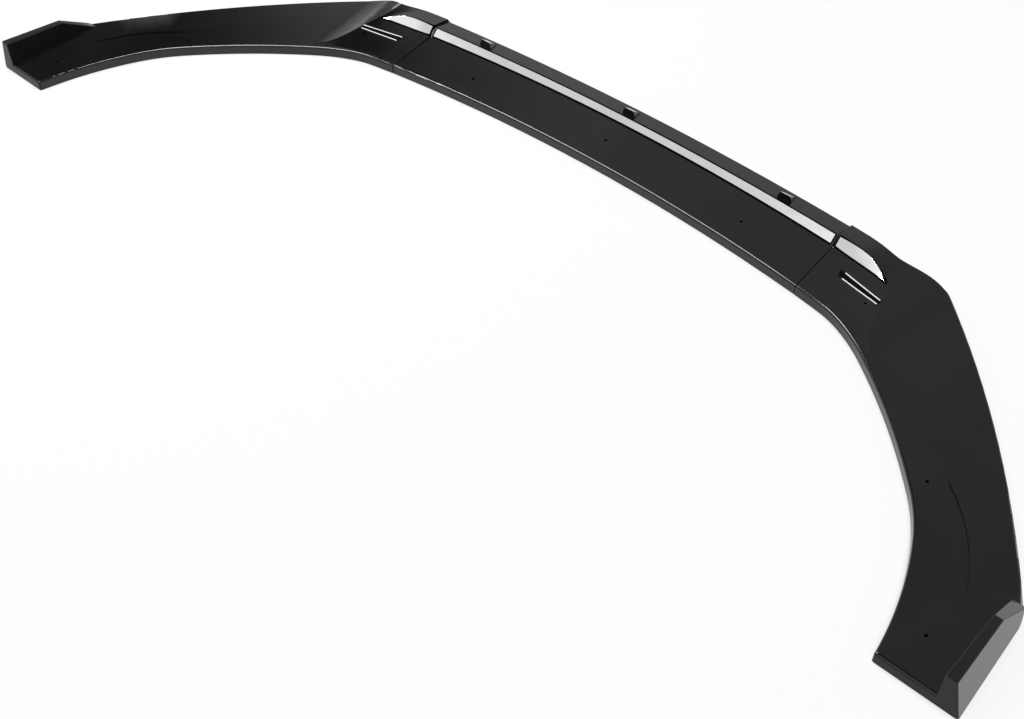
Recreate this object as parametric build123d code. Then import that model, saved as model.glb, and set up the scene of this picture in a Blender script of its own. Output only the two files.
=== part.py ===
import os
from math import atan2, degrees

from build123d import *

# Front lip moulded in three sections, with a chrome trim in three pieces, resting on its rim.
# +Z is up, -Y is the front of the car, +X is the car's left and x = 0 is the mid-plane.
# While drawn, y = 0 is near the foot of the chrome at the seam; finished pieces are moved to the middle.

# Wall and edges
wall = 4.0
rim_height = 15.0
edge_radius = 3.8
edge_bead = 4.5
seam_gap = 0.9

# Centre section: each line is an arc, given at the mid-plane and by how far it falls back at the seam;
# rises are heights above the rim
seam_x = 390.0
inner_mid_y = 58.0
inner_bow = 27.0
foot_mid_y = -23.2
foot_bow = 22.0
brow_mid_y = -31.8
brow_bow = 18.2
nose_mid_y = -61.5
nose_bow = 17.5
lead_mid_y = -80.0
lead_bow = 14.3
foot_rise = 14.5
brow_rise = 26.5
nose_rise = 23.0
centre_spans = 4

# Side section: plan of the wing, in x from the seam
wing_end_y = 503.0
wing_inner_points = [(42.3, 92.0), (81.1, 104.1), (131.3, 134.0), (294.7, 286.2), (335.0, 347.9)]
wing_end_inner_x = 381.0
wing_end_outer_x = 483.0
wing_bend = (476.0, 356.0)
wing_edge_middle = (325.0, 137.0)
wing_corner = (154.0, -47.8)
corner_radius = 40.0
bend_radius = 30.0
end_radius = 3.0

# Side section: raised front as rows across it, smoothly joined. Each row is x from the seam, y where
# the plate starts to rise, then y and rise of the foot, the brow and the nose, and y where the front ends
raised_rows = [
    (-20.0, 78.5, -2.4, 14.4, -14.2, 29.7, -45.9, 26.5, -63.0),
    (0.0, 81.0, -1.5, 14.5, -13.3, 29.7, -44.5, 26.5, -62.5),
    (50.0, 90.0, 8.0, 16.5, -5.0, 28.7, -38.0, 26.5, -59.5),
    (95.0, 105.0, 20.0, 18.5, 13.0, 21.3, -26.5, 27.0, -55.5),
    (125.0, 120.0, 24.0, 18.5, 14.0, 21.3, -26.5, 27.0, -52.5),
    (150.0, 137.0, 28.0, 18.5, 15.0, 21.3, -22.0, 27.0, -45.0),
    (175.0, 155.0, 36.0, 18.5, 20.0, 21.3, -5.0, 27.0, -22.0),
    (200.0, 172.0, 50.0, 18.5, 40.0, 21.3, 15.0, 27.0, 0.0),
]
side_spans = 10

# Sweep that ends the raised front: points of its profile are distance out from a base line and rise. The
# base line crosses sweep_y at sweep_x from the seam and runs back towards the seam by sweep_lean
sweep_points = [(-15, 34), (0, 25.2), (15, 18.3), (30, 12.1), (45, 6.0), (60, 2.1), (75, 0.5), (92, -0.5)]
sweep_x = 88.0
sweep_y = 13.0
sweep_lean = 0.2

# Winglet on the end of each wing, its outer face leaning inwards from the floor up
winglet_inner_x = 454.0
winglet_front_y = 344.0
winglet_top_front_y = 400.0
winglet_front_rise = 32.5
winglet_rear_rise = 39.0
winglet_lean = 15.0
winglet_radius = 1.5

# Chrome trim: thickness and stand are measured straight up, and the trim lies in a shallow recess
trim_thickness = 2.6
trim_stand = 0.8
trim_inset = 0.8
trim_clearance = 1.5
trim_seat = 0.1
trim_corner = 1.2
strip_gap = 5.0
fang_gap = 3.0
fang_start_y = -11.5
fang_upper_points = [(30.0, -8.6), (62.0, -1.0), (82.0, 9.0)]
fang_lower_middle = (47.0, 7.2)
fang_tip = (93.5, 19.0)

# Holes for the fixing screws, upright through the plate
hole_radius = 2.25
centre_hole = (0.0, 14.7)
pair_hole = (261.8, 31.2)
corner_hole = (91.9, 61.2)
wing_front_hole = (304.0, 263.0)
wing_rear_hole = (410.0, 447.5)

# Surface details of the side section
blade_inner_front = (33.0, 27.2)
blade_inner_rear = (36.0, 37.0)
blade_tip_rear = (105.5, 53.6)
blade_tip_front = (107.0, 48.4)
blade_depth = 0.9
blade_fall = 1.5
blade_corner = 2.0
blade_lip = 1.0
crease_start = (318.0, 243.0)
crease_end = (418.0, 382.0)
crease_outer_middle = (394.5, 327.5)
crease_inner_middle = (391.0, 330.5)
crease_depth = 1.4
step_length = 31.0
step_front_y = 6.0
step_depth = 0.5

# Snap ramps on the flange of the centre section
ramp_base_half = 12.5
ramp_top_half = 8.5
ramp_height = 10.0
ramp_depth = 19.0
ramp_spacing = 290.0
ramp_back = 6.5

# Joint under each seam: a tongue of the centre section reaches under the side plate and two screws hold it
tongue_reach = 28.0
tongue_root = 12.0
tongue_thickness = 3.0
tongue_clearance = 0.2
tongue_front_margin = 8.0
tongue_rear_margin = 14.0
tongue_radius = 6.0
screw_x = 18.0
screw_ys = (24.0, 58.0)
screw_radius = 1.95
screw_clearance = 0.25
screw_fit = 0.05
screw_bite = 2.5
screw_seat = 0.25
screw_head_radius = 4.0
screw_head_height = 2.4
screw_head_chamfer = 0.8

# Sizes used only while solids are combined
raise_root = 5.0
raise_sink = 0.5
overlap = 1.0
overrun = 20.0
tall = 120.0
curve_spans = 8

middle_y = (lead_mid_y + wing_end_y) / 2


def bowed(mid_y, bow, x):
    return mid_y + bow * (x / seam_x) ** 2


def from_seam(point):
    return (seam_x + point[0], point[1])


def lowered(shape, drop):
    return Pos(0, 0, -drop) * shape


def block(x_range, y_range, z_range):
    sizes = [high - low for low, high in (x_range, y_range, z_range)]
    middles = [(high + low) / 2 for low, high in (x_range, y_range, z_range)]
    return Pos(*middles) * Box(*sizes)


def eased(points, x):
    # smooth curve through (x, value) points that never swings past them
    spans = list(zip(points, points[1:]))
    slopes = [(b[1] - a[1]) / (b[0] - a[0]) for a, b in spans]
    turns = [2 * p * q / (p + q) if p * q > 0 else 0 for p, q in zip(slopes, slopes[1:])]
    turns = [slopes[0], *turns, slopes[-1]]
    i = max(k for k, (a, b) in enumerate(spans) if k == 0 or x >= a[0])
    (x0, v0), (x1, v1) = spans[i]
    t = (x - x0) / (x1 - x0)
    rise = turns[i] * (1 - t) - turns[i + 1] * t
    return v0 + (v1 - v0) * t * t * (3 - 2 * t) + (x1 - x0) * t * (1 - t) * rise


def section_face(x, points):
    return Plane.YZ.offset(x) * make_face(Polyline(*points, close=True))


def raised_face(x, start_y, foot, brow, nose, lead_y):
    root_z = rim_height - raise_root
    sink_z = rim_height - raise_sink
    line = [(y, rim_height + rise) for y, rise in (foot, brow, nose)]
    top = [(start_y, sink_z), *line, (lead_y, sink_z)]
    return section_face(x, [(start_y, root_z), *top, (lead_y, root_z)])


def centre_raised_face(x):
    return raised_face(
        x,
        bowed(inner_mid_y, inner_bow, x) - edge_bead,
        (bowed(foot_mid_y, foot_bow, x), foot_rise),
        (bowed(brow_mid_y, brow_bow, x), brow_rise),
        (bowed(nose_mid_y, nose_bow, x), nose_rise),
        bowed(lead_mid_y, lead_bow, x) + edge_bead,
    )


def bowed_arc(mid_y, bow, half):
    end_y = bowed(mid_y, bow, half)
    return ThreePointArc((-half, end_y), (0, mid_y), (half, end_y))


def band_plan(rear, front, half):
    # plan between two bowed lines, each given as (mid_y, bow)
    rear_arc = bowed_arc(*rear, half)
    front_arc = bowed_arc(*front, half)
    left_end = Line(rear_arc @ 1, front_arc @ 1)
    right_end = Line(front_arc @ 0, rear_arc @ 0)
    return make_face([rear_arc, left_end, front_arc, right_end])


def rounded_slab(plan, seam_planes):
    # slab of the rim's height, its upper edge rounded except along the seams
    slab = extrude(plan, amount=rim_height)
    top_edges = slab.faces().sort_by(Axis.Z)[-1].edges()
    kept = [e for e in top_edges if all(abs((e @ 0.5).X - x) > seam_gap for x in seam_planes)]
    return fillet(kept, edge_radius)


def grown(plan, amount):
    # plan grown all round, or drawn inwards, with its offset curves rebuilt as plain splines
    edges = offset(plan, amount).edges()
    rebuilt = [Spline(*e.positions([i / curve_spans for i in range(curve_spans + 1)])) for e in edges]
    return make_face([new if old.geom_type == GeomType.OFFSET else old for old, new in zip(edges, rebuilt)])


def pocket(upper, plan, depth):
    # everything inside a plan above a floor that follows the upper surface
    return extrude(plan, amount=tall) - lowered(upper, depth)


def skin(upper, plan, above, below):
    # layer that follows the upper surface inside a plan, from above it to below it
    return (extrude(plan, amount=tall) & lowered(upper, -above)) - lowered(upper, below)


def hole(point):
    return Pos(*point, tall / 2) * Cylinder(hole_radius, 2 * tall)


def centre_upper():
    half = seam_x + overrun
    slab = rounded_slab(band_plan((inner_mid_y, inner_bow), (lead_mid_y, lead_bow), half), (half, -half))
    raised = loft([centre_raised_face(half * (2 * i / centre_spans - 1)) for i in range(centre_spans + 1)])
    return slab + raised


def tangent_arcs(points, heading):
    # arcs through the points, each running on smoothly from the one before it
    arcs = []
    for start, end in zip(points, points[1:]):
        arc = TangentArc(start, end, tangent=heading)
        heading = arc % 1
        arcs.append(arc)
    return arcs


def side_plan(start_x):
    inner_start = (start_x, bowed(inner_mid_y, inner_bow, start_x))
    lead_start = (start_x, bowed(lead_mid_y, lead_bow, start_x))
    inner_end = (seam_x + wing_end_inner_x, wing_end_y)
    inner_slope = 2 * inner_bow / seam_x
    inner_points = [inner_start, *[from_seam(p) for p in wing_inner_points], inner_end]
    inner = tangent_arcs(inner_points, (1, inner_slope))
    end = Line(inner_end, (seam_x + wing_end_outer_x, wing_end_y))
    outer_end = Line(end @ 1, from_seam(wing_bend))
    outer = ThreePointArc(outer_end @ 1, from_seam(wing_edge_middle), from_seam(wing_corner))
    lead = Line(outer @ 1, lead_start)
    seam = Line(lead @ 1, inner_start)
    plan = make_face([*inner, end, outer_end, outer, lead, seam])
    corners = [
        (outer @ 1, corner_radius),
        (outer_end @ 1, bend_radius),
        (end @ 0, end_radius),
        (end @ 1, end_radius),
    ]
    for point, radius in corners:
        plan = fillet(plan.vertices().sort_by_distance(point)[0], radius)
    return plan


def side_row(dx):
    # start, foot, brow, nose and end of the raised front at a distance from the seam
    columns = list(zip(*raised_rows))
    values = [eased(list(zip(columns[0], column)), dx) for column in columns[1:]]
    return values[0], tuple(values[1:3]), tuple(values[3:5]), tuple(values[5:7]), values[7]


def sweep_region():
    # everything below the sweep that ends the raised front
    start_y = lead_mid_y - overrun
    base_x = seam_x + sweep_x + sweep_lean * (sweep_y - start_y)
    curve = Spline(*[(base_x + out, rim_height + rise) for out, rise in sweep_points])
    low_z = rim_height - 2 * raise_root
    inside_x = raised_rows[0][0]
    high, low = curve @ 0, curve @ 1
    rest = Polyline(low, (low.X, low_z), (inside_x, low_z), (inside_x, high.Y), high)
    face = Plane.XZ.offset(-start_y) * make_face([curve, rest])
    return extrude(face, amount=wing_end_y, dir=Vector(-sweep_lean, 1).normalized())


def side_slope(start_x):
    # slab of the side section with its raised front, without the winglet
    slab = rounded_slab(side_plan(start_x), (start_x,))
    first, last = raised_rows[0][0], raised_rows[-1][0]
    stations = [first + (last - first) * i / side_spans for i in range(side_spans + 1)]
    raised = loft([raised_face(seam_x + dx, *side_row(dx)) for dx in stations])
    return slab + (raised & sweep_region())


def winglet(plan, inset):
    # block over the wing's end, drawn inwards by the inset for the space under it
    profile = [
        (winglet_front_y + inset, rim_height - raise_root),
        (winglet_front_y + inset, rim_height - inset),
        (winglet_top_front_y + inset / 2, rim_height + winglet_front_rise - inset),
        (wing_end_y + overlap, rim_height + winglet_rear_rise - inset),
        (wing_end_y + overlap, rim_height - raise_root),
    ]
    inner_x = seam_x + winglet_inner_x + inset
    return extrude(section_face(inner_x, profile), amount=tall) & extrude(plan, amount=tall)


def lean_cutter(inset):
    # everything outside the leaning outer face of the winglet
    bend_x, bend_y = from_seam(wing_bend)
    run = Vector(seam_x + wing_end_outer_x - bend_x, wing_end_y - bend_y)
    start = Vector(bend_x - inset, bend_y) - run
    slope = winglet_lean / (rim_height + winglet_rear_rise)
    points = [
        (start.X + overrun * slope, -overrun),
        (start.X + tall, -overrun),
        (start.X + tall, tall),
        (start.X - tall * slope, tall),
    ]
    face = Plane.XZ.offset(-start.Y) * make_face(Polyline(*points, close=True))
    return extrude(face, amount=3 * run.length, dir=run.normalized())


def side_upper(plan, slope):
    body = slope + winglet(plan, 0) - lean_cutter(0)
    rim_top = rim_height + edge_radius
    rear_edges = [e for e in body.edges() if (e @ 0.5).Y > winglet_front_y]
    top_edges = [e for e in rear_edges if e.bounding_box().max.Z > rim_top]
    return fillet(top_edges, winglet_radius)


def ramp(x):
    # snap ramp with an upright rear face, narrowing and falling towards the nose
    rear_y = bowed(brow_mid_y, brow_bow, x) - ramp_back
    fall = (brow_rise - nose_rise) / (brow_mid_y - nose_mid_y)
    rear_z = rim_height + brow_rise - fall * ramp_back
    front_z = rear_z - fall * ramp_depth
    rear = ramp_face(x, rear_y, rear_z - overlap, rear_z + ramp_height, ramp_base_half)
    front = ramp_face(x, rear_y - ramp_depth, front_z - overlap, front_z, ramp_top_half)
    return loft([rear, front], ruled=True)


def ramp_face(x, y, base_z, top_z, base_half):
    base = [(x - base_half, base_z), (x + base_half, base_z)]
    top = [(x + ramp_top_half, top_z), (x - ramp_top_half, top_z)]
    return Plane.XZ.offset(-y) * make_face(Polyline(*base, *top, close=True))


def strip_plan(inset):
    half = seam_x - strip_gap + trim_inset - inset
    plan = band_plan((foot_mid_y - inset, foot_bow), (brow_mid_y + inset, brow_bow), half)
    return fillet(plan.vertices(), trim_corner)


def fang_plan():
    # fang from the seam to its tip
    lower = ThreePointArc(
        from_seam((fang_gap, side_row(fang_gap)[1][0] - trim_inset)),
        from_seam(fang_lower_middle),
        from_seam(fang_tip),
    )
    upper = Spline(
        lower @ 1,
        *[from_seam(p) for p in reversed(fang_upper_points)],
        from_seam((fang_gap, fang_start_y)),
    )
    plan = make_face([lower, upper, Line(upper @ 1, lower @ 0)])
    return fillet(plan.vertices().group_by(Axis.X)[0], trim_corner)


def trim_piece(upper, plan):
    return skin(upper, plan, trim_stand, trim_thickness - trim_stand)


def trim_recess(upper, plan):
    return pocket(upper, plan, trim_thickness - trim_stand + trim_seat)


def tongue_plan(start_x, end_x):
    front_y = bowed(foot_mid_y, foot_bow, seam_x) + tongue_front_margin
    rear_y = bowed(inner_mid_y, inner_bow, seam_x) - tongue_rear_margin
    corners = [(start_x, front_y), (end_x, front_y), (end_x, rear_y), (start_x, rear_y)]
    face = make_face(Polyline(*corners, close=True))
    return fillet(face.vertices().group_by(Axis.X)[-1], tongue_radius)


def tongue(slope):
    # tongue under the side plate, with its thicker root fused under the centre plate
    seam_end = seam_x - seam_gap / 2
    top = wall + tongue_clearance
    plan = tongue_plan(seam_x - tongue_root, seam_x + tongue_reach)
    reach = skin(slope, plan, -top, top + tongue_thickness)
    root = skin(slope, tongue_plan(seam_x - tongue_root, seam_end), overlap - wall, top + tongue_thickness)
    return reach + root


def plate_steepness(dx):
    start_y, (foot_y, rise) = side_row(dx)[:2]
    return (rise + raise_sink) / (start_y - foot_y)


def on_plate(point, depth):
    # point at a depth under the side plate, given by its place from the seam
    dx, y = point
    rise = plate_steepness(dx) * (side_row(dx)[0] - y) - raise_sink
    return Vector(seam_x + dx, y, rim_height + rise - depth)


def screw_place(y):
    # on the underside of the side plate, square to the plate
    tilt = degrees(atan2(-plate_steepness(screw_x), 1))
    return Pos(*on_plate((screw_x, y), wall)) * Rot(tilt, 0, 0)


def joint_screw():
    # screw with z = 0 on the underside of the side plate
    seat = tongue_clearance + tongue_thickness + screw_seat
    shank = Cylinder(screw_radius, seat + screw_bite, align=(Align.CENTER, Align.CENTER, Align.MAX))
    head = Cylinder(screw_head_radius, screw_head_height, align=(Align.CENTER, Align.CENTER, Align.MAX))
    head = chamfer(head.edges().sort_by(Axis.Z)[0], screw_head_chamfer)
    return Pos(0, 0, screw_bite) * shank + lowered(head, seat)


def joint_holes(radius, top):
    depth = tall / 4
    drill = Cylinder(radius, depth, align=(Align.CENTER, Align.CENTER, Align.MAX))
    return [screw_place(y) * Pos(0, 0, top) * drill for y in screw_ys]


def both_sides(shapes):
    return [*shapes, *[mirror(s, about=Plane.YZ) for s in shapes]]


def step_plan():
    # plate beside the seam, sunk by the depth of the step and open to the rim
    rear_y = bowed(inner_mid_y, inner_bow, seam_x + step_length) + overrun
    start_x = seam_x - overlap
    end_x = seam_x + step_length
    corners = [(start_x, step_front_y), (start_x, rear_y), (end_x, rear_y), (end_x, step_front_y)]
    return make_face(Polyline(*corners, close=True))


def blade_pocket():
    # blade-shaped pocket whose floor falls towards its rear corner
    corners = (blade_inner_front, blade_inner_rear, blade_tip_rear, blade_tip_front)
    plan = make_face(Polyline(*[from_seam(p) for p in corners], close=True))
    plan = fillet(plan.vertices(), blade_corner)
    front, tip = on_plate(blade_inner_front, blade_depth), on_plate(blade_tip_front, blade_depth)
    rear = on_plate(blade_inner_rear, blade_depth + blade_fall)
    floor = Plane(origin=front, x_dir=tip - front, z_dir=(tip - front).cross(rear - front))
    return split(extrude(plan, amount=tall), bisect_by=floor, keep=Keep.TOP)


def lipped(shell):
    # blade pocket with its mouth rounded over
    inner_x, tip_x = (from_seam(p)[0] for p in (blade_inner_front, blade_tip_front))
    front_y, rear_y = blade_inner_front[1], blade_tip_rear[1]
    near = [e for e in shell.edges() if inner_x < (e @ 0.5).X < tip_x and front_y < (e @ 0.5).Y < rear_y]
    plate_z = [on_plate(((e @ 0.5).X - seam_x, (e @ 0.5).Y), 0).Z for e in near]
    return fillet([e for e, z in zip(near, plate_z) if abs((e @ 0.5).Z - z) < blade_lip / 2], blade_lip)


def crease_plan():
    outer = ThreePointArc(from_seam(crease_start), from_seam(crease_outer_middle), from_seam(crease_end))
    inner = ThreePointArc(from_seam(crease_end), from_seam(crease_inner_middle), from_seam(crease_start))
    return make_face([outer, inner])


def centre_section(upper, slope):
    half = seam_x - seam_gap / 2
    reach = seam_x + 2 * overrun
    inner_plan = band_plan((inner_mid_y - wall, inner_bow), (lead_mid_y + wall, lead_bow), reach)
    shell = upper - (lowered(upper, wall) & extrude(inner_plan, amount=tall))
    shell = shell & block((-half, half), (-tall, 2 * tall), (-tall, tall))
    for x in (-ramp_spacing, 0, ramp_spacing):
        shell = shell + ramp(x)
    shell = shell - trim_recess(upper, strip_plan(trim_inset - trim_clearance))
    for side_tongue in both_sides([tongue(slope) - joint_holes(screw_radius + screw_clearance, screw_bite)]):
        shell = shell + side_tongue
    return shell - [hole(p) for p in (centre_hole, pair_hole, (-pair_hole[0], pair_hole[1]))]


def left_section(plan, slope, upper):
    inner_plan = grown(plan, -wall)
    space = lowered(slope, wall) & extrude(inner_plan, amount=tall)
    shell = upper - (space + winglet(inner_plan, wall) - lean_cutter(wall))
    shell = shell & block((seam_x + seam_gap / 2, 2 * wing_end_y), (-tall, 2 * wing_end_y), (-tall, tall))
    shell = shell - trim_recess(slope, grown(fang_plan(), trim_clearance))
    shell = shell - pocket(slope, step_plan(), step_depth)
    shell = lipped(shell - blade_pocket())
    shell = shell - pocket(slope, crease_plan(), crease_depth)
    shell = shell - joint_holes(screw_radius + screw_fit, screw_bite + screw_fit)
    return shell - [hole(from_seam(p)) for p in (corner_hole, wing_front_hole, wing_rear_hole)]


def export_all():
    start_x = seam_x + raised_rows[0][0]
    plan = side_plan(start_x)
    slope = side_slope(start_x)
    centre = centre_upper()
    left = left_section(plan, slope, side_upper(plan, slope))
    left_trim = trim_piece(slope, fang_plan())
    screws = both_sides([screw_place(y) * joint_screw() for y in screw_ys])
    nodes = {
        "centre_section": centre_section(centre, slope),
        "left_section": left,
        "right_section": mirror(left, about=Plane.YZ),
        "centre_trim": trim_piece(centre, strip_plan(trim_inset)),
        "left_trim": left_trim,
        "right_trim": mirror(left_trim, about=Plane.YZ),
        "joint_screws": Part() + screws,
    }
    os.makedirs("parts", exist_ok=True)
    for name, shape in nodes.items():
        export_step(Pos(0, -middle_y, 0) * shape, f"parts/{name}.step")
        print(name, len(shape.solids()), shape.is_valid, round(shape.volume))


export_all()
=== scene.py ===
import bpy
import bmesh
from math import radians, sqrt
from mathutils import Matrix, Vector
from mathutils.bvhtree import BVHTree


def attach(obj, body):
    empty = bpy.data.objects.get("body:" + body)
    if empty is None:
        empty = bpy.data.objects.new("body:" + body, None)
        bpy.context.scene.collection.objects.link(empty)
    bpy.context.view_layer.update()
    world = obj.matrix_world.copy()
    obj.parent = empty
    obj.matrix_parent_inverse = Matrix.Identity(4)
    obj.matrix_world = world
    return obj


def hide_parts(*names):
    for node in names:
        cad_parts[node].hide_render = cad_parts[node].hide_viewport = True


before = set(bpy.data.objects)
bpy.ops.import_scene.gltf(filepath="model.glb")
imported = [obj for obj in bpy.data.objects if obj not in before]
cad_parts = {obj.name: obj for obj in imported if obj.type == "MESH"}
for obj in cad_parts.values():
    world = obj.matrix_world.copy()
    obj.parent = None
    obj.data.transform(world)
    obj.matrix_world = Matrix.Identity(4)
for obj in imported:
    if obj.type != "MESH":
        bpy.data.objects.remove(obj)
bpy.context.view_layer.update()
scene = bpy.context.scene
scene.view_settings.view_transform = "Standard"
print("frame loaded:", sorted(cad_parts))


# small node helpers, used by every finish

def addNode(tree, kind, **values):
    node = tree.nodes.new(kind)
    for name, value in values.items():
        setattr(node, name, value)
    return node


def link(tree, fromSocket, toSocket):
    tree.links.new(fromSocket, toSocket)


def mathNode(tree, operation, first, second=None, clamp=False):
    node = addNode(tree, "ShaderNodeMath", operation=operation, use_clamp=clamp)
    for index, value in enumerate((first, second)):
        if value is None:
            continue
        if isinstance(value, (int, float)):
            node.inputs[index].default_value = value
        else:
            link(tree, value, node.inputs[index])
    return node.outputs[0]


def ramp(tree, value, low, high, toLow=0.0, toHigh=1.0, smooth=True):
    node = addNode(tree, "ShaderNodeMapRange", clamp=True)
    node.interpolation_type = "SMOOTHSTEP" if smooth else "LINEAR"
    link(tree, value, node.inputs["Value"])
    node.inputs["From Min"].default_value = low
    node.inputs["From Max"].default_value = high
    node.inputs["To Min"].default_value = toLow
    node.inputs["To Max"].default_value = toHigh
    return node.outputs["Result"]


def noise(tree, vector, scale, detail=3.0, roughness=0.55):
    node = addNode(tree, "ShaderNodeTexNoise")
    link(tree, vector, node.inputs["Vector"])
    node.inputs["Scale"].default_value = scale
    node.inputs["Detail"].default_value = detail
    node.inputs["Roughness"].default_value = roughness
    return node.outputs["Fac"]


def mixColour(tree, factor, first, second):
    node = addNode(tree, "ShaderNodeMix", data_type="RGBA")
    link(tree, factor, node.inputs["Factor"])
    for name, value in (("A", first), ("B", second)):
        socket = [s for s in node.inputs if s.name == name and s.type == "RGBA"][0]
        if isinstance(value, tuple):
            socket.default_value = (*value, 1.0)
        else:
            link(tree, value, socket)
    return [s for s in node.outputs if s.type == "RGBA"][0]


def newGroup(name, inputs, outputs):
    group = bpy.data.node_groups.new(name, "ShaderNodeTree")
    for label, value in inputs.items():
        kind = "NodeSocketVector" if value is None else "NodeSocketFloat"
        socket = group.interface.new_socket(label, in_out="INPUT", socket_type=kind)
        if value is not None:
            socket.default_value = value
    for label in outputs:
        group.interface.new_socket(label, in_out="OUTPUT", socket_type="NodeSocketFloat")
    return group, addNode(group, "NodeGroupInput"), addNode(group, "NodeGroupOutput")


# shared surface effects

def handlingMarks():
    # wiped-on smears, hairline scuffs and settled dust
    sizes = {"Place": None, "Smear size": 7.0, "Hair size": 55.0, "Dust size": 620.0}
    group, start, end = newGroup("handling marks", sizes, ["Smear", "Hairline", "Dust"])
    place = start.outputs["Place"]

    smear = addNode(group, "ShaderNodeTexNoise")
    link(group, place, smear.inputs["Vector"])
    link(group, start.outputs["Smear size"], smear.inputs["Scale"])
    smear.inputs["Detail"].default_value = 5.0
    smear.inputs["Distortion"].default_value = 0.8
    link(group, ramp(group, smear.outputs["Fac"], 0.42, 0.72), end.inputs["Smear"])

    stretch = addNode(group, "ShaderNodeMapping")
    stretch.inputs["Rotation"].default_value = (0.0, 0.0, radians(24))
    stretch.inputs["Scale"].default_value = (1.0, 16.0, 16.0)
    link(group, place, stretch.inputs["Vector"])
    hair = addNode(group, "ShaderNodeTexNoise")
    link(group, stretch.outputs["Vector"], hair.inputs["Vector"])
    link(group, start.outputs["Hair size"], hair.inputs["Scale"])
    hair.inputs["Detail"].default_value = 2.0
    fine = ramp(group, hair.outputs["Fac"], 0.64, 0.74)
    patch = ramp(group, noise(group, place, 9.0), 0.5, 0.62)
    link(group, mathNode(group, "MULTIPLY", fine, patch), end.inputs["Hairline"])

    cells = addNode(group, "ShaderNodeTexVoronoi")
    link(group, place, cells.inputs["Vector"])
    link(group, start.outputs["Dust size"], cells.inputs["Scale"])
    speck = ramp(group, cells.outputs["Distance"], 0.1, 0.2, 1.0, 0.0)
    sparse = ramp(group, noise(group, place, 70.0, 2.0), 0.6, 0.68)
    link(group, mathNode(group, "MULTIPLY", speck, sparse), end.inputs["Dust"])
    return group


def mouldedSkin():
    # faint orange peel over slow sink waves
    sizes = {"Place": None, "Peel size": 260.0, "Wave size": 9.0}
    group, start, end = newGroup("moulded skin", sizes, ["Height"])
    peel = addNode(group, "ShaderNodeTexNoise")
    link(group, start.outputs["Place"], peel.inputs["Vector"])
    link(group, start.outputs["Peel size"], peel.inputs["Scale"])
    peel.inputs["Detail"].default_value = 1.0
    wave = addNode(group, "ShaderNodeTexNoise")
    link(group, start.outputs["Place"], wave.inputs["Vector"])
    link(group, start.outputs["Wave size"], wave.inputs["Scale"])
    wave.inputs["Detail"].default_value = 1.0
    small = mathNode(group, "MULTIPLY", peel.outputs["Fac"], 0.02)
    link(group, mathNode(group, "ADD", wave.outputs["Fac"], small), end.inputs["Height"])
    return group


marksGroup = handlingMarks()
skinGroup = mouldedSkin()


def startFinish(name):
    material = bpy.data.materials.new(name)
    material.use_nodes = True
    tree = material.node_tree
    shader = tree.nodes["Principled BSDF"]
    place = addNode(tree, "ShaderNodeTexCoord").outputs["Object"]
    return material, tree, shader, place


def placeGroup(tree, group, place, **sizes):
    node = addNode(tree, "ShaderNodeGroup", node_tree=group)
    link(tree, place, node.inputs["Place"])
    for label, value in sizes.items():
        node.inputs[label.replace("_", " ")].default_value = value
    return node


def bump(tree, height, strength, distance):
    node = addNode(tree, "ShaderNodeBump")
    node.inputs["Strength"].default_value = strength
    node.inputs["Distance"].default_value = distance
    link(tree, height, node.inputs["Height"])
    return node


# gloss black moulding

blackSettings = {
    "deep": (0.0035, 0.0035, 0.0038),
    "worn": (0.0075, 0.0075, 0.008),
    "dust": (0.05, 0.05, 0.05),
    "matt": (0.014, 0.014, 0.014),
    "dustShare": 0.5,
    "gloss": 0.045,
    "smearGloss": 0.05,
    "hairGloss": 0.05,
    "dustGloss": 0.3,
    "underside": 0.42,
    "skinBump": 0.022,
    "skinDepth": 0.002,
    "grainBump": 0.35,
    "grainDepth": 0.0003,
    "grainSize": 1500.0,
}


def blackMoulding():
    s = blackSettings
    material, tree, shader, place = startFinish("gloss black moulding")
    marks = placeGroup(tree, marksGroup, place)
    skin = placeGroup(tree, skinGroup, place)

    # the hidden side comes from a textured mould half
    facing = addNode(tree, "ShaderNodeSeparateXYZ")
    link(tree, addNode(tree, "ShaderNodeNewGeometry").outputs["Normal"], facing.inputs["Vector"])
    under = ramp(tree, facing.outputs["Z"], -0.35, -0.15, 1.0, 0.0)

    tone = mixColour(tree, ramp(tree, noise(tree, place, 4.0), 0.35, 0.7), s["deep"], s["worn"])
    dusted = mixColour(tree, mathNode(tree, "MULTIPLY", marks.outputs["Dust"], s["dustShare"]), tone, s["dust"])
    matt = mixColour(tree, under, dusted, s["matt"])
    link(tree, matt, shader.inputs["Base Color"])

    smear = mathNode(tree, "MULTIPLY", marks.outputs["Smear"], s["smearGloss"])
    hair = mathNode(tree, "MULTIPLY", marks.outputs["Hairline"], s["hairGloss"])
    dull = mathNode(tree, "MULTIPLY", marks.outputs["Dust"], s["dustGloss"])
    rough = mathNode(tree, "ADD", mathNode(tree, "ADD", smear, hair), dull)
    rough = mathNode(tree, "ADD", rough, s["gloss"])
    rough = mathNode(tree, "ADD", rough, mathNode(tree, "MULTIPLY", under, s["underside"]), clamp=True)
    link(tree, rough, shader.inputs["Roughness"])

    grain = mathNode(tree, "MULTIPLY", noise(tree, place, s["grainSize"], 2.0), under)
    grainBump = bump(tree, grain, s["grainBump"], s["grainDepth"])
    skinBump = bump(tree, skin.outputs["Height"], s["skinBump"], s["skinDepth"])
    link(tree, grainBump.outputs["Normal"], skinBump.inputs["Normal"])
    link(tree, skinBump.outputs["Normal"], shader.inputs["Normal"])
    shader.inputs["IOR"].default_value = 1.5
    return material


# bright chrome

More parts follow.
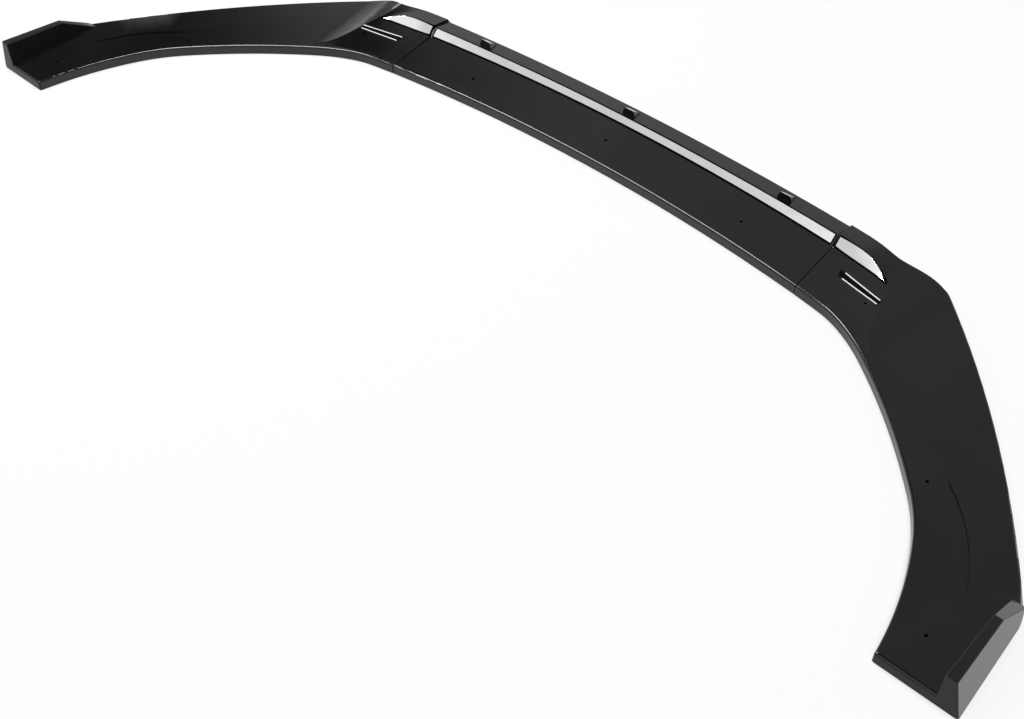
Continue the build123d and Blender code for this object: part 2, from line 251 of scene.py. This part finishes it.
chromeSettings = {
    "bright": (0.86, 0.87, 0.88),
    "clouded": (0.78, 0.79, 0.81),
    "dust": (0.4, 0.4, 0.4),
    "dustShare": 0.5,
    "gloss": 0.05,
    "smearGloss": 0.06,
    "hairGloss": 0.06,
    "skinBump": 0.05,
    "skinDepth": 0.0012,
    "edgeRound": 0.0006,
    # widths along the front and rear chrome edges painted matt black as the shaded gap line
    "frontShadeMargin": 0.0007,
    "rearShadeMargin": 0.0006,
    "step": 0.004,
    "across": 14,
}


def chromePlate():
    s = chromeSettings
    material, tree, shader, place = startFinish("bright chrome plate")
    marks = placeGroup(tree, marksGroup, place, Smear_size=16.0, Hair_size=80.0, Dust_size=700.0)
    skin = placeGroup(tree, skinGroup, place, Peel_size=420.0, Wave_size=14.0)
    cloud = mixColour(tree, marks.outputs["Smear"], s["bright"], s["clouded"])
    speck = mixColour(tree, mathNode(tree, "MULTIPLY", marks.outputs["Dust"], s["dustShare"]), cloud, s["dust"])
    link(tree, speck, shader.inputs["Base Color"])
    shader.inputs["Metallic"].default_value = 1.0
    smear = mathNode(tree, "MULTIPLY", marks.outputs["Smear"], s["smearGloss"])
    hair = mathNode(tree, "MULTIPLY", marks.outputs["Hairline"], s["hairGloss"])
    rough = mathNode(tree, "ADD", mathNode(tree, "ADD", smear, hair), s["gloss"], clamp=True)
    link(tree, rough, shader.inputs["Roughness"])
    skinBump = bump(tree, skin.outputs["Height"], s["skinBump"], s["skinDepth"])
    link(tree, skinBump.outputs["Normal"], shader.inputs["Normal"])
    return material


# matt black finish painted as shade: in the recess round the chrome, along the chrome's edges and sides, in
# holes, blade pockets, the wing crease and at seams

paintedShadeSettings = {
    "dark": (0.0012, 0.0012, 0.0012),
    "grey": (0.003, 0.003, 0.003),
    "rough": 0.7,
    "roughSpread": 0.15,
    "shine": 0.06,
    "patchSize": 300.0,
    "grainSize": 1200.0,
    "grainBump": 0.3,
    "grainDepth": 0.0002,
    "reach": 0.0034,
}


def paintedShadeMatt():
    # near-black matt, painted as shade in recesses, holes and gaps
    s = paintedShadeSettings
    material, tree, shader, place = startFinish("painted shade matt")
    patch = ramp(tree, noise(tree, place, s["patchSize"], 4.0), 0.4, 0.7)
    link(tree, mixColour(tree, patch, s["dark"], s["grey"]), shader.inputs["Base Color"])
    rough = ramp(tree, patch, 0.0, 1.0, s["rough"], s["rough"] + s["roughSpread"])
    link(tree, rough, shader.inputs["Roughness"])
    grain = bump(tree, noise(tree, place, s["grainSize"], 3.0), s["grainBump"], s["grainDepth"])
    link(tree, grain.outputs["Normal"], shader.inputs["Normal"])
    shader.inputs["Specular IOR Level"].default_value = s["shine"]
    return material


# zinc-plated screws

screwSettings = {
    "zinc": (0.56, 0.56, 0.57),
    "tarnish": (0.30, 0.30, 0.29),
    "gloss": 0.28,
    "smearGloss": 0.15,
    "patchSize": 420.0,
    "grainSize": 900.0,
    "grainBump": 0.15,
    "grainDepth": 0.0002,
}


def zincPlate():
    s = screwSettings
    material, tree, shader, place = startFinish("zinc plated screw")
    marks = placeGroup(tree, marksGroup, place, Smear_size=160.0, Hair_size=400.0, Dust_size=1400.0)
    patch = ramp(tree, noise(tree, place, s["patchSize"], 4.0), 0.35, 0.7)
    link(tree, mixColour(tree, patch, s["zinc"], s["tarnish"]), shader.inputs["Base Color"])
    shader.inputs["Metallic"].default_value = 1.0
    smear = mathNode(tree, "MULTIPLY", marks.outputs["Smear"], s["smearGloss"])
    rough = mathNode(tree, "ADD", smear, s["gloss"], clamp=True)
    link(tree, rough, shader.inputs["Roughness"])
    grain = bump(tree, noise(tree, place, s["grainSize"], 3.0), s["grainBump"], s["grainDepth"])
    link(tree, grain.outputs["Normal"], shader.inputs["Normal"])
    return material


blackFinish = blackMoulding()
chromeFinish = chromePlate()
paintedShadeFinish = paintedShadeMatt()
zincFinish = zincPlate()
print("finishes made")


# pieces, each from its own frame node

def flatPatches(bm, angle):
    # faces that run on flatly into each other share a patch number
    number = {}
    widths = []
    for first in bm.faces:
        if first in number:
            continue
        number[first] = len(widths)
        waiting, area, border = [first], 0.0, 0.0
        while waiting:
            face = waiting.pop()
            area += face.calc_area()
            for edge in face.edges:
                other = [f for f in edge.link_faces if f is not face]
                if not other or edge.calc_face_angle(3.0) > angle:
                    border += edge.calc_length()
                elif other[0] not in number:
                    number[other[0]] = len(widths)
                    waiting.append(other[0])
        widths.append(2 * area / max(border, 1e-9))
    return number, widths


shellSettings = {
    "flat": radians(10),
    "crease": radians(13),
    "roundCrease": radians(52),
    "roundWidth": 0.0027,
    "rimTop": 0.015,
    "rimRound": 0.0038,
    "rimEnd": 0.85,
    "creaseFloor": 0.0135,
    "creaseStart": 0.7,
    "holeRadius": 0.00225,
    "holes": ((0.0, -0.1968), (0.2618, -0.1803), (0.4819, -0.1503), (0.694, 0.0515), (0.8, 0.236)),
}


def smoothShell(bm):
    # roundings shade smoothly into the faces beside them, other corners stay crisp
    s = shellSettings
    bm.normal_update()
    number, widths = flatPatches(bm, s["flat"])
    for face in bm.faces:
        face.smooth = True
    for edge in bm.edges:
        angle = edge.calc_face_angle(3.0)
        narrow = any(widths[number[f]] < s["roundWidth"] for f in edge.link_faces)
        edge.smooth = angle < (s["roundCrease"] if narrow else s["crease"])


def rimNormal(point, normal):
    # on the rounded rim the normal follows the true rounding, so its light line runs evenly
    s = shellSettings
    rise = (point.z - s["rimTop"] + s["rimRound"]) / s["rimRound"]
    flat = Vector((normal.x, normal.y, 0.0))
    onRim = -0.02 < rise < 0.95 and flat.length >= 0.2 and abs(normal.z - rise) <= 0.3
    if not onRim or abs(point.x) > s["rimEnd"]:
        return normal
    rise = max(rise, 0.0)
    return flat.normalized() * sqrt(1 - rise * rise) + Vector((0, 0, rise))


def fanNormals(vert):
    # one area-weighted normal for each run of faces round a corner that shades smoothly,
    # taken in a fixed order so that every run gives the same sums
    left = list(vert.link_faces)
    result = {}
    while left:
        waiting = [left.pop()]
        fan = []
        while waiting:
            face = waiting.pop()
            fan.append(face)
            for edge in face.edges:
                if edge.smooth and vert in edge.verts:
                    for other in edge.link_faces:
                        if other in left:
                            left.remove(other)
                            waiting.append(other)
        total = sum((f.normal * f.calc_area() for f in fan), Vector())
        result.update({f.index: rimNormal(vert.co, total.normalized()) for f in fan})
    return result


def shellNormals(bm):
    bm.faces.index_update()
    bm.verts.index_update()
    normals = {}
    for vert in bm.verts:
        for face, normal in fanNormals(vert).items():
            normals[face, vert.index] = normal
    return normals


def finishPiece(bm, name, node, material):
    mesh = bpy.data.meshes.new(name)
    bm.to_mesh(mesh)
    bm.free()
    mesh.materials.append(material)
    piece = bpy.data.objects.new(name, mesh)
    scene.collection.objects.link(piece)
    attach(piece, "root")
    if node:
        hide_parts(node)
    print("made", name, "with", len(mesh.polygons), "faces")
    return piece


def evenShading(piece):
    shade = piece.modifiers.new("even shading", "WEIGHTED_NORMAL")
    shade.keep_sharp = True
    shade.weight = 60


def mergedCopy(node):
    bm = bmesh.new()
    bm.from_mesh(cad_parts[node].data)
    bmesh.ops.remove_doubles(bm, verts=bm.verts, dist=1e-6)
    return bm


# raised lips along both long sides of each blade pocket

bladeSettings = {
    "front": ((0.4225, -0.1845), (0.4975, -0.1632)),
    "rear": ((0.4255, -0.1743), (0.4965, -0.1576)),
    "profile": (
        (0.0, -0.0003), (0.0001, 0.0), (0.0006, 0.00045),
        (0.0008, 0.00047), (0.0022, 0.00008), (0.0024, -0.0003),
    ),
    "frontShift": -0.0013,
    "rearShift": -0.0002,
    "stations": 24,
    "pocketBase": 0.012,
}


def recessShadeFaces(bm, trims):
    # faces of the shallow recess round a trim, painted matt black as shade in the recess
    trees = [BVHTree.FromBMesh(mergedCopy(node)) for node in trims]
    near = {v for v in bm.verts if any(t.find_nearest(v.co, paintedShadeSettings["reach"])[0] for t in trees)}
    return [f for f in bm.faces if all(v in near for v in f.verts)]


# where each side section ends at its seam and how far that end is drawn back
seamSettings = {
    "sideEnds": {"left_section": (0.39045, 0.001), "right_section": (-0.39045, -0.0002)},
    "centreEnd": 0.38955,
    "near": 3e-5,
    "centreNear": 5e-5,
}


def holeWalls(bm):
    # walls of the screw holes, painted matt black as shade inside the holes
    s = shellSettings
    walls = []
    for face in bm.faces:
        for x, y in s["holes"]:
            away = [abs(Vector((abs(v.co.x) - x, v.co.y - y)).length - s["holeRadius"]) for v in face.verts]
            if max(away) < 0.0001 and abs(face.normal.z) < 0.5:
                walls.append(face)
    return walls


def pocketFloor(bm):
    # inside of the blade pockets, painted matt black as shade in the pockets
    frontStart, frontEnd = [Vector(p) for p in bladeSettings["front"]]
    rearStart, rearEnd = [Vector(p) for p in bladeSettings["rear"]]
    loop = [frontStart, frontEnd, rearEnd, rearStart]
    floor = []
    for face in bm.faces:
        centre = face.calc_center_median()
        spot = Vector((abs(centre.x), centre.y))
        sides = [(b - a).cross(spot - a) for a, b in zip(loop, loop[1:] + loop[:1])]
        if min(sides) > 0 and face.normal.z > -0.2 and centre.z > bladeSettings["pocketBase"]:
            floor.append(face)
    return floor


def creaseFaces(bm):
    # outer side of the shallow crease on each wing, painted matt black as shade in the crease
    s = shellSettings
    crease = []
    for face in bm.faces:
        heights = [v.co.z for v in face.verts]
        inside = min(heights) > s["creaseFloor"] and max(heights) < s["rimTop"] + 0.0001
        onWing = abs(face.calc_center_median().x) > s["creaseStart"]
        if inside and onWing and abs(face.normal.z) < 0.1 and face.normal.y > 0:
            crease.append(face)
    return crease


def seamFaces(bm, node):
    # rough matt black faces where two sections meet, painted as shade in the joint gap
    s = seamSettings
    if node not in s["sideEnds"]:
        upright = [f for f in bm.faces if abs(f.normal.x) > 0.99]
        return [f for f in upright if abs(abs(f.calc_center_median().x) - s["centreEnd"]) < s["centreNear"]]
    endX = sum(s["sideEnds"][node])
    return [f for f in bm.faces if all(abs(v.co.x - endX) < s["near"] for v in f.verts)]


def openSeam(bm, node):
    # the joint shows as a clear dark line, a little wider than a tight fit
    s = seamSettings
    if node in s["sideEnds"]:
        endX, shift = s["sideEnds"][node]
        for vert in bm.verts:
            if abs(vert.co.x - endX) < s["near"]:
                vert.co.x += shift


def lipShell(name, node, trims):
    bm = mergedCopy(node)
    openSeam(bm, node)
    smoothShell(bm)
    # recess, hole walls, seam ends, pocket floors and crease sides take the matt black, painted as shade
    matt = recessShadeFaces(bm, trims) + holeWalls(bm) + seamFaces(bm, node) + pocketFloor(bm) + creaseFaces(bm)
    for face in matt:
        face.material_index = 1
    normals = shellNormals(bm)
    piece = finishPiece(bm, name, node, blackFinish)
    mesh = piece.data
    mesh.materials.append(paintedShadeFinish)
    corners = [(p.index, v) for p in mesh.polygons for v in p.vertices]
    mesh.normals_split_custom_set([normals[c] for c in corners])
    return piece


def planOutline(bm):
    # straight pieces of the plan outline, where the sides stand upright
    upright = [f for f in bm.faces if abs(f.normal.z) < 0.2]
    edges = {e for f in upright for e in f.edges if any(g.normal.z > 0.2 for g in e.link_faces)}
    return [(e.verts[0].co.xy, e.verts[1].co.xy) for e in edges]


def crossings(outline, x):
    ys = []
    for a, b in outline:
        if min(a.x, b.x) <= x <= max(a.x, b.x) and abs(a.x - b.x) > 1e-9:
            ys.append(a.y + (b.y - a.y) * (x - a.x) / (b.x - a.x))
    return min(ys), max(ys)


def awayFromOutline(outline, point):
    away = 1.0
    for a, b in outline:
        run = b - a
        along = max(0.0, min(1.0, (point - a).dot(run) / max(run.length_squared, 1e-12)))
        away = min(away, (point - a - run * along).length)
    return away


def stationsAlong(low, high):
    # close together at the rounded ends, even between them
    s = chromeSettings
    ends = [s["edgeRound"] * part for part in (0.01, 0.1, 0.25, 0.5, 0.75, 1.0, 1.5, 2.2)]
    count = max(8, round((high - low - 2 * ends[-1]) / s["step"]))
    middle = [low + ends[-1] + (high - low - 2 * ends[-1]) * i / count for i in range(count + 1)]
    return [low + e for e in ends[:-1]] + middle + [high - e for e in reversed(ends[:-1])]


def sharesAcross(width):
    # the same spacing across: fine at both rounded edges
    s = chromeSettings
    edge = min(s["edgeRound"], 0.3 * width)
    fine = [edge * part / width for part in (0.0, 0.06, 0.17, 0.35, 0.6, 1.0)]
    inner = [fine[-1] + (1 - 2 * fine[-1]) * i / s["across"] for i in range(1, s["across"])]
    return fine + inner + [1 - f for f in reversed(fine)]


def heightAt(tree, x, y, fromZ):
    # height of the surface met from above or below, or of its nearest point right at the outline
    origin = Vector((x, y, fromZ))
    hit = tree.ray_cast(origin, Vector((0, 0, -fromZ)))[0]
    return (hit or tree.find_nearest(origin)[0]).z


def roundGrid(rows):
    # points round the outside of a grid, in order
    return [r[0] for r in rows] + rows[-1][1:] + [r[-1] for r in reversed(rows[:-1])] + rows[0][-2:0:-1]


def trimPlate(name, node):
    # plate rebuilt as an even grid on the frame's own surface, its outline rounded over
    source = mergedCopy(node)
    source.normal_update()
    tree = BVHTree.FromBMesh(source)
    outline = planOutline(source)
    xs = [p.x for pair in outline for p in pair]
    roundOver = chromeSettings["edgeRound"]
    bm = bmesh.new()
    topRows, baseRows = [], []
    for x in stationsAlong(min(xs), max(xs)):
        low, high = crossings(outline, x)
        topRow, baseRow = [], []
        for share in sharesAcross(max(high - low, 1e-6)):
            y = low + (high - low) * min(max(share, 0.002), 0.998)
            top, base = heightAt(tree, x, y, 1.0), heightAt(tree, x, y, -1.0)
            short = max(0.0, 1 - awayFromOutline(outline, Vector((x, y))) / roundOver)
            drop = (1 - sqrt(max(0.0, 1 - short * short))) * roundOver
            topRow.append(bm.verts.new((x, y, max(top - drop, base + 0.0002))))
            baseRow.append(bm.verts.new((x, y, base)))
        topRows.append(topRow)
        baseRows.append(baseRow)
    for rows in (topRows, baseRows):
        for one, two in zip(rows, rows[1:]):
            for i in range(len(one) - 1):
                face = bm.faces.new((one[i], two[i], two[i + 1], one[i + 1]))
                # strips along the front and rear edges are painted matt black as the shaded gap line, which
                # also hides the front edge's highlight
                front = i < len(one) / 2
                margin = chromeSettings["frontShadeMargin" if front else "rearShadeMargin"]
                plated = awayFromOutline(outline, face.calc_center_median().xy) > margin
                face.material_index = 0 if plated and rows is topRows else 1
    # the upright sides and the underside take the matt black: partly the trim's unplated black carrier, partly
    # painted shade for the gap line
    topRim, baseRim = roundGrid(topRows), roundGrid(baseRows)
    for i in range(len(topRim)):
        j = (i + 1) % len(topRim)
        bm.faces.new((topRim[i], baseRim[i], baseRim[j], topRim[j])).material_index = 1
    source.free()
    bmesh.ops.remove_doubles(bm, verts=bm.verts, dist=2e-6)
    bmesh.ops.recalc_face_normals(bm, faces=bm.faces)
    for face in bm.faces:
        face.smooth = True
    for edge in bm.edges:
        edge.smooth = edge.calc_face_angle(3.0) < radians(40)
    piece = finishPiece(bm, name, node, chromeFinish)
    piece.data.materials.append(paintedShadeFinish)
    evenShading(piece)
    return piece


def bladeLips(name, node, side):
    s = bladeSettings
    source = mergedCopy(node)
    tree = BVHTree.FromBMesh(source)
    bm = bmesh.new()
    for line, outward in (("front", -1), ("rear", 1)):
        start, end = [Vector((x * side, y)) for x, y in s[line]]
        run = (end - start).normalized()
        back = Vector((-run.y, run.x)) * side
        rows = []

        def plateZ(share, reach):
            return heightAt(tree, *(start.lerp(end, share) + back * outward * reach), 1.0)

        slope = (plateZ(0.4, 0.007) - plateZ(0.4, 0.003)) / 0.004 * outward
        bend = [plateZ(share, 0.003) for share in (0.1, 0.4, 0.7)]
        for i in range(s["stations"] + 1):
            share = i / s["stations"]
            step = (share - 0.1) / 0.3
            curve = (bend[2] - 2 * bend[1] + bend[0]) * step * (step - 1) / 2
            plate = bend[0] + (bend[1] - bend[0]) * step + curve
            thin = min(1.0, 0.35 + 6 * share, 0.6 + 8 * (1 - share))
            row = []
            for across, height in s["profile"]:
                off = across + s[line + "Shift"]
                place = start.lerp(end, share) + back * off
                row.append(bm.verts.new((*place, plate + slope * (off - outward * 0.003) + height * thin)))
            rows.append(row)
        for one, two in zip(rows, rows[1:]):
            for i in range(len(one) - 1):
                bm.faces.new((one[i], two[i], two[i + 1], one[i + 1]))
        for row in (rows[0], rows[-1]):
            bm.faces.new(row)
    source.free()
    bmesh.ops.recalc_face_normals(bm, faces=bm.faces)
    for face in bm.faces:
        face.smooth = True
    for edge in bm.edges:
        edge.smooth = edge.calc_face_angle(3.0) < radians(15)
    piece = finishPiece(bm, name, None, blackFinish)
    evenShading(piece)
    return piece


shadeSheetSettings = {
    "frontY": -0.205,
    "overlap": 0.0012,
    "gap": 0.0021,
    "thick": 0.0006,
    "coreZ": 0.004,
}


def seamShadeSheet(name, side):
    # dark matt strip behind each seam in the front flange, put there as painted shade so that no light shows
    # through the joint
    s = shadeSheetSettings
    source = mergedCopy("centre_section")
    source.normal_update()
    endX = seamSettings["centreEnd"] * side
    end = [f for f in source.faces if all(abs(v.co.x - endX) < seamSettings["near"] for v in f.verts)]
    points = [v.co for f in end for v in f.verts]
    core = Vector((endX, sum(p.y for p in points) / len(points), s["coreZ"]))
    bm = bmesh.new()
    for face in end:
        for edge in face.edges:
            skins = [f for f in edge.link_faces if f not in end]
            middle = (edge.verts[0].co + edge.verts[1].co) / 2
            if not skins or middle.y > s["frontY"] or skins[0].normal.dot(core - middle) <= 0:
                continue
            a, b = [v.co for v in edge.verts]
            inward = skins[0].normal * s["thick"]
            near, far = Vector((-s["overlap"] * side, 0, 0)), Vector((s["gap"] * side, 0, 0))
            ring = [a + near, b + near, b + far, a + far]
            outer = [bm.verts.new(p) for p in ring]
            inner = [bm.verts.new(p + inward) for p in ring]
            bm.faces.new(outer)
            bm.faces.new(inner[::-1])
            for i in range(4):
                bm.faces.new((outer[i], inner[i], inner[(i + 1) % 4], outer[(i + 1) % 4]))
    source.free()
    bmesh.ops.recalc_face_normals(bm, faces=bm.faces)
    return finishPiece(bm, name, None, paintedShadeFinish)


def screwSet(name, node):
    bm = mergedCopy(node)
    smoothShell(bm)
    piece = finishPiece(bm, name, node, zincFinish)
    evenShading(piece)
    return piece


lipShell("centreLip", "centre_section", ["centre_trim"])
lipShell("leftWingLip", "left_section", ["left_trim"])
lipShell("rightWingLip", "right_section", ["right_trim"])
bladeLips("leftBladeLips", "left_section", 1)
bladeLips("rightBladeLips", "right_section", -1)
trimPlate("centreChromeStrip", "centre_trim")
trimPlate("leftChromeTip", "left_trim")
trimPlate("rightChromeTip", "right_trim")
screwSet("jointScrews", "joint_screws")
seamShadeSheet("leftSeamShadeSheet", 1)
seamShadeSheet("rightSeamShadeSheet", -1)


# floor, light and camera

stageSettings = {
    "floorSize": 14.0,
    "floorColour": (0.86, 0.86, 0.86),
    "floorWhite": 0.9,
    "shadowReach": 0.045,
    "shadowFade": (0.25, 0.6),
    # grey and dark floor tones seen only in reflections, a painted reflection
    "greyFrom": (0.28, 0.296),
    "greyShare": 0.5,
    "darkFrom": (0.9, 1.1),
    "darkShare": 0.9,
    "lowFront": 0.84,
    "highFront": 0.47,
    "highSide": 0.13,
    "highRight": 0.09,
    "lowRear": 0.88,
    "highRear": 1.2,
    "ceilingTone": 0.03,
    "darkSide": 0.07,
    "keyWay": (0.486, 0.05, 0.873),
    "keyRun": (0.0, 1.0, -0.06),
    "keyDistance": 2.4,
    "keySize": (0.72, 0.92),
    "keyPower": 42.0,
}


def whiteFloor():
    s = stageSettings
    bm = bmesh.new()
    bmesh.ops.create_grid(bm, x_segments=8, y_segments=8, size=s["floorSize"] / 2)
    mesh = bpy.data.meshes.new("floor")
    bm.to_mesh(mesh)
    bm.free()
    floor = bpy.data.objects.new("floor", mesh)
    scene.collection.objects.link(floor)
    floor.location = (0, 0, -0.0005)
    material = bpy.data.materials.new("white floor")
    material.use_nodes = True
    tree = material.node_tree
    tree.nodes.clear()
    rays = addNode(tree, "ShaderNodeLightPath")
    seen = mathNode(tree, "MAXIMUM", rays.outputs["Is Camera Ray"], rays.outputs["Is Glossy Ray"])
    seen = mathNode(tree, "MAXIMUM", seen, rays.outputs["Is Transmission Ray"])
    diffuse = addNode(tree, "ShaderNodeBsdfDiffuse")
    diffuse.inputs["Color"].default_value = (*s["floorColour"], 1)
    # the white fades where the object covers the floor, so its shadow stays
    cover = addNode(tree, "ShaderNodeAmbientOcclusion", samples=8)
    cover.inputs["Distance"].default_value = s["shadowReach"]
    # painted reflection: in glossy rays only, the floor is greyer behind the wing ends and nearly dark beyond
    # the +X end
    parts = addNode(tree, "ShaderNodeSeparateXYZ")
    link(tree, addNode(tree, "ShaderNodeTexCoord").outputs["Object"], parts.inputs["Vector"])
    grey = ramp(tree, parts.outputs["Y"], *s["greyFrom"], 0.0, s["greyShare"])
    dark = ramp(tree, parts.outputs["X"], *s["darkFrom"], 0.0, s["darkShare"])
    grey = mathNode(tree, "MAXIMUM", grey, dark)
    bright = mathNode(tree, "SUBTRACT", 1.0, mathNode(tree, "MULTIPLY", grey, rays.outputs["Is Glossy Ray"]))
    white = addNode(tree, "ShaderNodeEmission")
    clear = ramp(tree, cover.outputs["AO"], *s["shadowFade"])
    link(tree, mathNode(tree, "MULTIPLY", clear, bright), white.inputs["Strength"])
    mix = addNode(tree, "ShaderNodeMixShader")
    link(tree, mathNode(tree, "MULTIPLY", seen, s["floorWhite"]), mix.inputs[0])
    link(tree, diffuse.outputs[0], mix.inputs[1])
    link(tree, white.outputs[0], mix.inputs[2])
    link(tree, mix.outputs[0], addNode(tree, "ShaderNodeOutputMaterial").inputs["Surface"])
    mesh.materials.append(material)


def studioWorld():
    # soft pale room: white behind, greyer in front, dark ceiling and one dark side
    s = stageSettings
    world = bpy.data.worlds.new("soft studio")
    scene.world = world
    world.use_nodes = True
    tree = world.node_tree
    tree.nodes.clear()
    way = addNode(tree, "ShaderNodeTexCoord").outputs["Generated"]
    parts = addNode(tree, "ShaderNodeSeparateXYZ")
    link(tree, way, parts.inputs["Vector"])
    x, y, z = parts.outputs["X"], parts.outputs["Y"], parts.outputs["Z"]

    # turn round the room, none straight in front and growing towards +X
    turn = mathNode(tree, "ARCTAN2", x, mathNode(tree, "MULTIPLY", y, -1.0))
    front = ramp(tree, z, 0.4, 0.66, s["lowFront"], s["highFront"])
    side = mathNode(tree, "MULTIPLY", ramp(tree, turn, radians(20), radians(42)), ramp(tree, z, 0.6, 0.75))
    front = mathNode(tree, "ADD", front, mathNode(tree, "MULTIPLY", side, s["highSide"]))
    front = mathNode(tree, "ADD", front, ramp(tree, turn, radians(-20), radians(5), s["highRight"], 0.0))

    # the dark side starts nearer the front lower down
    lean = mathNode(tree, "SUBTRACT", turn, mathNode(tree, "MULTIPLY", z, radians(26)))
    turned = ramp(tree, lean, radians(33.6), radians(46.1))
    dark = mathNode(tree, "MULTIPLY", turned, ramp(tree, z, 0.36, 0.51))
    front = mathNode(tree, "MULTIPLY", front, ramp(tree, dark, 0.0, 1.0, 1.0, s["darkSide"], smooth=False))
    rear = ramp(tree, y, -0.05, 0.3)
    room = mathNode(tree, "MULTIPLY", front, mathNode(tree, "SUBTRACT", 1.0, rear))
    back = ramp(tree, z, 0.54, 0.7, s["lowRear"], s["highRear"])
    room = mathNode(tree, "ADD", room, mathNode(tree, "MULTIPLY", rear, back))
    over = ramp(tree, z, 0.88, 0.96)
    room = mathNode(tree, "MULTIPLY", room, ramp(tree, over, 0.0, 1.0, 1.0, s["ceilingTone"], smooth=False))

    glow = addNode(tree, "ShaderNodeBackground")
    link(tree, room, glow.inputs["Strength"])
    link(tree, glow.outputs[0], addNode(tree, "ShaderNodeOutputWorld").inputs["Surface"])


def keyLamp():
    s = stageSettings
    lamp = bpy.data.lights.new("key softbox", "AREA")
    lamp.shape = "RECTANGLE"
    lamp.size, lamp.size_y = s["keySize"]
    lamp.energy = s["keyPower"]
    box = bpy.data.objects.new("key softbox", lamp)
    scene.collection.objects.link(box)
    way = Vector(s["keyWay"]).normalized()
    across = way.cross(Vector(s["keyRun"])).normalized()
    box.location = way * s["keyDistance"]
    box.rotation_euler = Matrix((across.cross(way), across, way)).transposed().to_euler()


cameraSettings = {
    "eye": (-0.9936, 1.0885, 1.2067),
    "target": (-0.21564, 0.24513, 0.03185),
    "lens": 46.17,
}


def photoCamera():
    s = cameraSettings
    data = bpy.data.cameras.new("photo camera")
    data.sensor_fit = "HORIZONTAL"
    data.sensor_width = 36.0
    data.lens = s["lens"]
    data.clip_start = 0.01
    data.clip_end = 100.0
    camera = bpy.data.objects.new("photo camera", data)
    scene.collection.objects.link(camera)
    camera.location = s["eye"]
    aim = Vector(s["target"]) - Vector(s["eye"])
    camera.rotation_euler = aim.to_track_quat("-Z", "Y").to_euler()
    scene.camera = camera


whiteFloor()
studioWorld()
keyLamp()
photoCamera()
print("stage, light and camera set")
